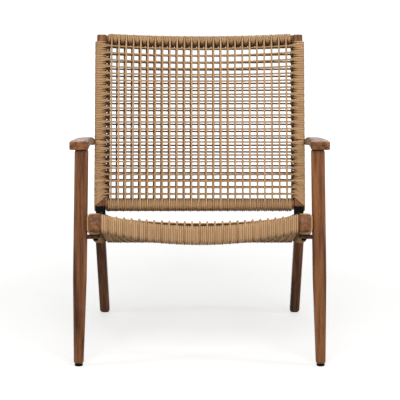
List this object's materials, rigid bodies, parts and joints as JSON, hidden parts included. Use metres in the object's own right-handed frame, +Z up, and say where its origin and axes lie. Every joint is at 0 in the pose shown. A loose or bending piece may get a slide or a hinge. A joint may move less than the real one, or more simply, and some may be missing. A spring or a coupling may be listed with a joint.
{
  "type": "wooden armchair",
  "caption": "Low wooden armchair with raked rear legs and a seat and reclined back woven from paper cord.",
  "frame": {"origin": "on the floor, below the middle of the chair's outer box", "axes": "+X to the right as seen from the front, +Y from the front of the chair to its back, +Z up"},
  "size_m": [0.652, 0.735, 0.7667],
  "materials": {
    "wood": "satin",
    "cord": "matte",
    "black_steel": "satin",
    "zinc_steel": "satin",
    "glide_plastic": "matte"
  },
  "bodies": {
    "root": {"front_leg_left": "wood", "front_leg_right": "wood", "rear_leg_left": "wood", "rear_leg_right": "wood", "armrest_left": "wood", "armrest_right": "wood", "back_post_left": "wood", "back_post_right": "wood", "back_top_rail": "wood", "back_bottom_rail": "wood", "seat_side_rail_left": "wood", "seat_side_rail_right": "wood", "seat_front_rail": "wood", "seat_rear_rail": "wood", "seat_bearer_left": "wood", "seat_bearer_right": "wood", "post_bracket_left": "black_steel", "post_bracket_right": "black_steel", "arm_bolts": "zinc_steel", "arm_inserts": "zinc_steel", "bearer_bolts": "black_steel", "bracket_bolts": "black_steel", "bracket_nuts": "black_steel", "bracket_screws": "zinc_steel", "rear_rail_bolts": "black_steel", "barrel_nuts": "zinc_steel", "arm_dowels": "wood", "back_dowels": "wood", "seat_dowels": "wood", "front_glides": "glide_plastic", "rear_glides": "glide_plastic", "glide_nails": "zinc_steel", "post_wrap_left": "cord", "post_wrap_right": "cord", "top_rail_wrap": "cord", "bottom_rail_wrap": "cord", "side_rail_wrap_left": "cord", "side_rail_wrap_right": "cord", "front_rail_wrap": "cord", "rear_rail_wrap": "cord", "back_warp_front": "cord", "back_warp_rear": "cord", "back_weft_front": "cord", "back_weft_rear": "cord", "seat_warp_top": "cord", "seat_warp_bottom": "cord", "seat_weft_top": "cord", "seat_weft_bottom": "cord"}
  },
  "joints": []
}
